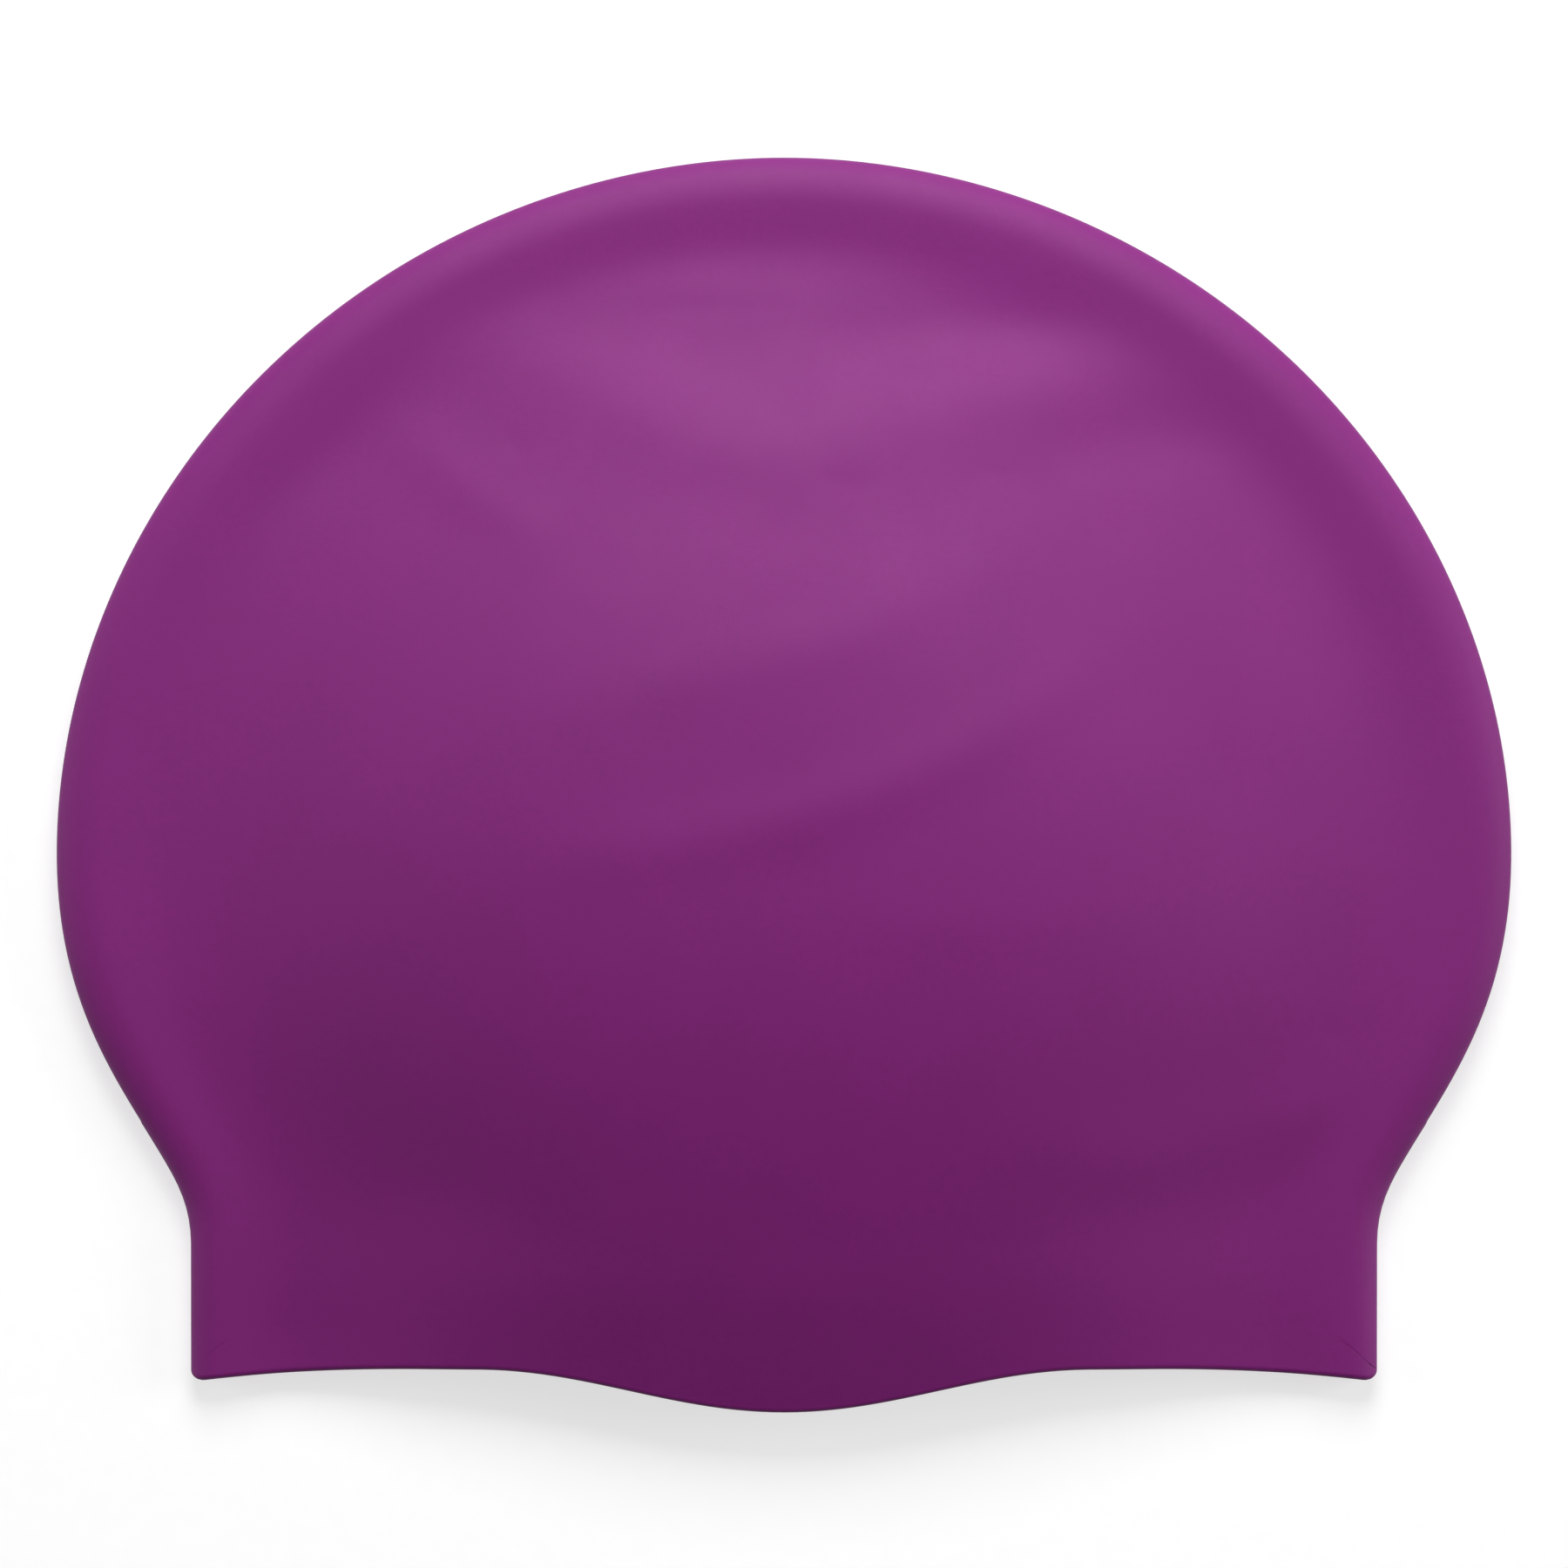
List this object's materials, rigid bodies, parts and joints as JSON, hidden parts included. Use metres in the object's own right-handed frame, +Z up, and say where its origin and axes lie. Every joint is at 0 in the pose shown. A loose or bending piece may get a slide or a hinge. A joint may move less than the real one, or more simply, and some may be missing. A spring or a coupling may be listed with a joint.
{
  "type": "swim cap",
  "caption": "Plain moulded silicone swim cap lying flat on one wall, a domed crown narrowing to an open rim with a thickened lip and a shallow lobe.",
  "frame": {"origin": "on the surface that the cap lies on, under the middle of its outline seen from above", "axes": "+X across the cap, +Y from the open rim to the crown, +Z up from the surface"},
  "size_m": [0.22, 0.1894, 0.0244],
  "materials": {
    "silicone": "satin matte, slightly mottled"
  },
  "bodies": {
    "root": {"cap": "silicone"}
  },
  "joints": []
}
